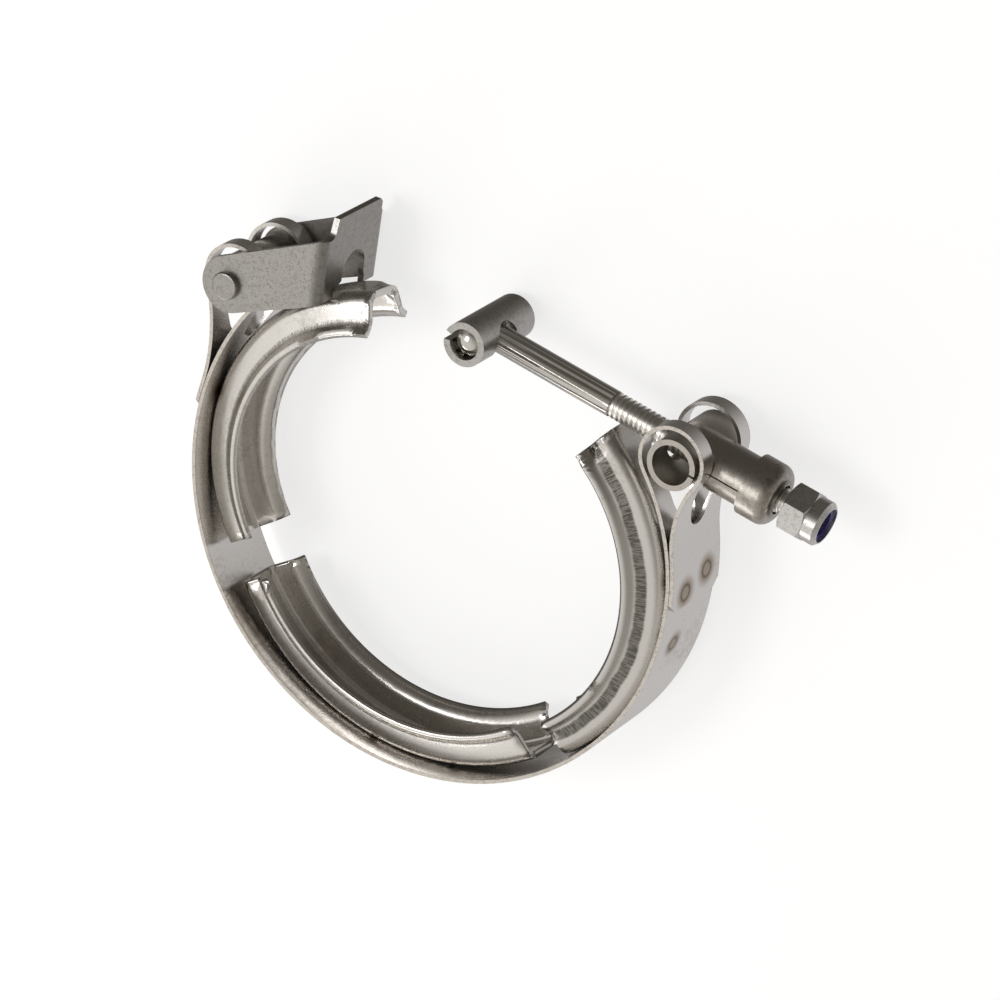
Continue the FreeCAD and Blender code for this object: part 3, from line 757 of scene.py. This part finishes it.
@dataclass
class Latch:
    """Stamped latch on its riveted pin, with the sleeve inside the loop.

    Attributes:
        nodes: The part's nodes, by name.
        tumbled: Finish of the latch and its pin.
        turned: Finish of the sleeve.
    """

    nodes: dict[str, bpy.types.Object]
    tumbled: Steel = Steel(
        "tumbled_plate",
        (0.385, 0.37, 0.35),
        (0.2, 0.19, 0.17),
        0.34,
        speckle=0.016,
        fleck=0.6,
        stain=0.75,
        grit=4200.0,
    )
    turned: Steel = Steel("turned_sleeve", (0.46, 0.44, 0.41), (0.16, 0.15, 0.13), 0.25, speckle=0.002)

    def build(self) -> None:
        """Dress the latch's nodes."""
        plate = self.tumbled.build()
        dress(self.nodes["latch"], plate)
        dress(self.nodes["latch_pin"], plate)
        dress(self.nodes["latch_spacer"], self.turned.build())
        LOG.info("latch dressed")


@dataclass
class Trunnion:
    """Formed T piece in the right loop, with the cap on its barrel.

    Attributes:
        nodes: The part's nodes, by name.
        formed: Finish of both.
    """

    nodes: dict[str, bpy.types.Object]
    formed: Steel = Steel(
        "formed_satin", (0.47, 0.44, 0.40), (0.2, 0.18, 0.15), 0.35, speckle=0.004, stain=0.5, fleck=0.15
    )

    def build(self) -> None:
        """Dress the trunnion's nodes."""
        finish = self.formed.build()
        dress(self.nodes["trunnion"], finish)
        dress(self.nodes["trunnion_cap"], finish)
        LOG.info("trunnion dressed")


@dataclass
class Bolt:
    """T-bolt with a cut thread, and the sleeve on its head.

    Attributes:
        nodes: The part's nodes, by name.
        head: Place of the head's axis, in metres.
        turn: Direction of the shank, in radians.
        plain: Distance from the head's axis to the thread, in metres.
        length: Distance from the head's axis to the bolt's end, in metres.
        pitch: The thread's pitch, in metres.
        crest: The thread's outside radius, in metres.
        root: Radius of its core, in metres.
        sink: How far the ridge's foot lies inside the core, in metres.
        run_in: Distance from the plain shank to the ridge's start, in metres.
        chamfer: Width of the chamfer at the end, in metres.
        foot: Half width of the ridge's foot, in pitches.
        flat: Half width of its flat crest, in pitches.
        sides: Sides of the core and steps in one turn of the ridge.
        polished: Finish of the head and plain shank.
        cut: Finish of the thread.
        rolled: Finish of the sleeve.
    """

    nodes: dict[str, bpy.types.Object]
    head: Vector = field(default_factory=lambda: Vector((10.0282, 44.9833, 0.0)) * MM)
    turn: float = math.radians(-18.3)
    plain: float = 34.5 * MM
    length: float = 89.2 * MM
    pitch: float = 1.27 * MM
    crest: float = 3.08 * MM
    root: float = 2.62 * MM
    sink: float = 0.12 * MM
    run_in: float = 0.3 * MM
    chamfer: float = 0.4 * MM
    foot: float = 0.47
    flat: float = 0.2
    sides: int = 48
    polished: Steel = Steel(
        "polished_shank", (0.66, 0.635, 0.60), (0.45, 0.43, 0.40), 0.13, spread=0.04, speckle=0.0005
    )
    cut: Steel = Steel(
        "cut_thread", (0.82, 0.8, 0.76), (0.55, 0.53, 0.49), 0.37, spread=0.04, speckle=0.0008
    )
    rolled: Steel = Steel(
        "rolled_sleeve", (0.48, 0.465, 0.445), (0.2, 0.185, 0.16), 0.3, speckle=0.005, fleck=0.25
    )

    def _place(self) -> Matrix:
        """Return the bolt's frame: x along the shank, from the head's axis."""
        return Matrix.Translation(self.head) @ Matrix.Rotation(self.turn, 4, "Z")

    def _lay(self, piece: bpy.types.Object, along: float) -> None:
        """Lay an upright piece on the shank's line, at a distance from the head's axis."""
        lie = Matrix.Rotation(math.radians(90), 4, "Y")
        piece.data.transform(self._place() @ Matrix.Translation(Vector((along, 0, 0))) @ lie)

    def _shank(self) -> bpy.types.Object:
        """Return the head and plain shank, cut from the CAD node and closed."""
        frame = self._place()
        shank = merged_copy(self.nodes["t_bolt"], "threaded_bolt")
        bpy.ops.mesh.bisect(
            plane_co=frame @ Vector((self.plain, 0, 0)),
            plane_no=frame.to_3x3() @ Vector((1, 0, 0)),
            use_fill=True,
            clear_outer=True,
        )
        bpy.ops.object.mode_set(mode="OBJECT")
        return shank

    def _core(self) -> bpy.types.Object:
        """Return the thread's core, with a chamfered end."""
        deselect()
        depth = self.length - self.plain + self.pitch
        bpy.ops.mesh.primitive_cylinder_add(vertices=self.sides, radius=self.root, depth=depth)
        core = bpy.context.object
        end = core.modifiers.new("end", "BEVEL")
        end.width = self.chamfer
        end.segments = 2
        end.limit_method = "ANGLE"
        end.angle_limit = math.radians(60)
        bpy.ops.object.modifier_apply(modifier="end")
        self._lay(core, self.length - depth / 2)
        return core

    def _ridge(self) -> bpy.types.Object:
        """Return the helical ridge: a closed tooth profile, wound round the core."""
        deselect()
        bpy.ops.mesh.primitive_plane_add(size=1.0)
        ridge = bpy.context.object
        inner = self.root - self.sink
        foot, flat = self.foot * self.pitch, self.flat * self.pitch
        profile = [(inner, -foot), (self.crest, -flat), (inner, foot), (self.crest, flat)]
        for corner, (radius, along) in zip(ridge.data.vertices, profile):
            corner.co = Vector((radius, 0, along))
        bpy.ops.object.mode_set(mode="EDIT")
        bpy.ops.mesh.select_all(action="SELECT")
        bpy.ops.mesh.delete(type="ONLY_FACE")
        bpy.ops.object.mode_set(mode="OBJECT")
        wind = ridge.modifiers.new("wind", "SCREW")
        wind.axis = "Z"
        wind.angle = math.tau
        wind.screw_offset = self.pitch
        wind.iterations = int((self.length - self.plain - 2 * self.run_in) / self.pitch)
        wind.steps = wind.render_steps = self.sides
        wind.use_merge_vertices = False
        bpy.ops.object.modifier_apply(modifier="wind")
        bpy.ops.object.mode_set(mode="EDIT")
        bpy.ops.mesh.select_all(action="DESELECT")
        bpy.ops.mesh.select_non_manifold()
        bpy.ops.mesh.fill()
        bpy.ops.mesh.select_all(action="SELECT")
        bpy.ops.mesh.normals_make_consistent(inside=False)
        bpy.ops.object.mode_set(mode="OBJECT")
        self._lay(ridge, self.plain + self.run_in)
        return ridge

    def build(self) -> None:
        """Model the threaded bolt and dress it and its sleeve."""
        bolt, core, ridge = self._shank(), self._core(), self._ridge()
        dress(bolt, self.polished.build())
        cut = self.cut.build()
        activate(bolt)
        for part in (core, ridge):
            dress(part, cut)
            part.select_set(True)
        bpy.ops.object.join()
        soften(bolt, THREAD_EDGE)
        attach(bolt, "bolt")
        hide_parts("t_bolt")
        dress(self.nodes["head_sleeve"], self.rolled.build())
        LOG.info("T-bolt threaded and dressed")


@dataclass
class LockNut:
    """Hexagon lock nut and its nylon ring.

    Attributes:
        nodes: The part's nodes, by name.
        plated: Finish of the nut.
        nylon: Finish of the ring.
    """

    nodes: dict[str, bpy.types.Object]
    plated: Steel = Steel(
        "brushed_nut", (0.68, 0.665, 0.65), (0.36, 0.33, 0.3), 0.25, speckle=0.004, fleck=0.2
    )
    nylon: Nylon = Nylon()

    def build(self) -> None:
        """Dress the nut and its ring."""
        dress(self.nodes["lock_nut"], self.plated.build())
        dress(self.nodes["nut_insert"], self.nylon.build())
        LOG.info("lock nut dressed")


@dataclass(frozen=True)
class Card:
    """A soft patch of the room, which the metal reflects.

    Attributes:
        toward: Direction of its middle.
        start: Cosine of the angle from there at which it begins.
        end: Cosine of the angle at which it is full.
        share: How much it covers of the room behind it.
        colour: Its colour.
    """

    toward: Point
    start: float
    end: float
    share: float
    colour: Colour


@dataclass(frozen=True)
class Lamp:
    """A rectangular soft light that faces the part.

    Attributes:
        name: The light's name.
        place: Where it hangs, in metres.
        size: Its width and height, in metres.
        radiance: How bright its face is.
    """

    name: str
    place: Point
    size: tuple[float, float]
    radiance: float

    def hang(self) -> None:
        """Hang the light."""
        width, height = self.size
        data = bpy.data.lights.new(self.name, "AREA")
        data.shape = "RECTANGLE"
        data.size, data.size_y = width, height
        data.energy = self.radiance * math.pi * width * height
        lamp = bpy.data.objects.new(self.name, data)
        bpy.context.scene.collection.objects.link(lamp)
        lamp.location = self.place
        lamp.rotation_euler = (-Vector(self.place)).to_track_quat("-Z", "Y").to_euler()


@dataclass
class Studio:
    """Pale floor, soft lights and the camera.

    Attributes:
        floor_height: The floor's height, in metres.
        floor_colour: The floor's own colour.
        floor_glow: How brightly it glows.
        eye: The camera's place, in metres.
        target: The point that it looks at, in metres.
        roll: Its turn about its own line of sight, in radians.
        lens: Its focal length, in millimetres.
        sensor: The width of its sensor, in millimetres.
        near_wall: The room's colour on its lighter side.
        far_wall: Its colour on the side toward +Y.
        backdrop: What the camera sees past the floor.
        cards: Patches of the room, each laid over those before it.
        lamps: The lights.
    """

    floor_height: float = -14.75 * MM
    floor_colour: Colour = (0.42, 0.42, 0.42)
    floor_glow: float = 0.72
    eye: Vector = field(default_factory=lambda: Vector((0.55014, 0.43385, 0.90641)))
    target: Vector = field(default_factory=lambda: Vector((0.013548, 0.004765, 0.0)))
    roll: float = math.radians(-122.123)
    lens: float = 180.0
    sensor: float = 36.0
    near_wall: Colour = (0.38, 0.36, 0.33)
    far_wall: Colour = (0.105, 0.096, 0.084)
    backdrop: Colour = (0.97, 0.97, 0.97)
    cards: tuple[Card, ...] = (
        Card((-0.55, -0.45, 0.70), 0.25, 0.95, 0.95, (0.84, 0.82, 0.79)),
        Card((-0.6, 0.0, -0.8), 0.6, 0.95, 0.75, (0.07, 0.065, 0.058)),
        Card((0.35, -0.55, -0.76), 0.2, 0.95, 0.85, (0.69, 0.68, 0.685)),
    )
    lamps: tuple[Lamp, ...] = (
        Lamp("key", (-0.38, 0.16, 0.91), (0.40, 0.33), 5.0),
        Lamp("side", (-0.59, -0.72, 0.36), (0.5, 0.3), 2.6),
    )

    def _camera(self) -> None:
        """Set the camera at its place."""
        data = bpy.data.cameras.new("camera")
        data.lens = self.lens
        data.sensor_width = self.sensor
        data.clip_start = 0.01
        data.clip_end = 40.0
        camera = bpy.data.objects.new("camera", data)
        bpy.context.scene.collection.objects.link(camera)
        aim = (self.target - self.eye).to_track_quat("-Z", "Y").to_matrix()
        camera.rotation_mode = "QUATERNION"
        camera.rotation_quaternion = (aim @ Matrix.Rotation(self.roll, 3, "Z")).to_quaternion()
        camera.location = self.eye
        bpy.context.scene.camera = camera

    def _floor(self) -> None:
        """Lay the floor, a glowing white table on which the part casts a faint shadow."""
        deselect()
        bpy.ops.mesh.primitive_plane_add(size=24.0, location=(0, 0, self.floor_height))
        floor = bpy.context.object
        floor.name = "floor"
        floor.visible_glossy = False
        graph = Graph(bpy.data.materials.new("floor"))
        inputs = {
            "Base Color": self.floor_colour,
            "Roughness": 0.9,
            "Emission Color": (1.0, 1.0, 1.0),
            "Emission Strength": self.floor_glow,
            "Specular IOR Level": 0.0,
        }
        shader = graph.add("ShaderNodeBsdfPrincipled", {}, inputs)
        graph.add("ShaderNodeOutputMaterial", {}, {"Surface": shader})
        floor.data.materials.append(graph.owner)

    def _surround(self) -> None:
        """Set a dim warm room, darker toward +Y, with its cards."""
        world = bpy.data.worlds.new("surround")
        bpy.context.scene.world = world
        graph = Graph(world)
        x, y, z = graph.split(graph.add("ShaderNodeTexCoord", {}, {}, "Generated"))
        colour = graph.blend(y.fade(-0.1, 0.75), self.near_wall, self.far_wall)
        for card in self.cards:
            facing = x * card.toward[0] + y * card.toward[1] + z * card.toward[2]
            cover = facing.fade(card.start, card.end) * card.share
            colour = graph.blend(cover, colour, card.colour)
        seen = graph.add("ShaderNodeLightPath", {}, {}, "Is Camera Ray")
        colour = graph.blend(seen, colour, self.backdrop)
        background = graph.add("ShaderNodeBackground", {}, {"Color": colour, "Strength": 1.0})
        graph.add("ShaderNodeOutputWorld", {}, {"Surface": background})

    def build(self) -> None:
        """Build the studio."""
        self._camera()
        self._floor()
        self._surround()
        for lamp in self.lamps:
            lamp.hang()
        bpy.context.scene.view_settings.view_transform = "Standard"
        LOG.info("studio built")


def main() -> None:
    """Build the clamp's looks and the studio."""
    logging.basicConfig(level=logging.INFO, format="%(name)s: %(message)s")
    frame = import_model()
    nodes = frame["nodes"]
    for node in nodes.values():
        soften(node, PIECE_EDGE)
    for part in (Strap(nodes), Latch(nodes), Trunnion(nodes), Bolt(nodes), LockNut(nodes)):
        part.build()
    Studio().build()


if __name__ == "__main__":
    main()
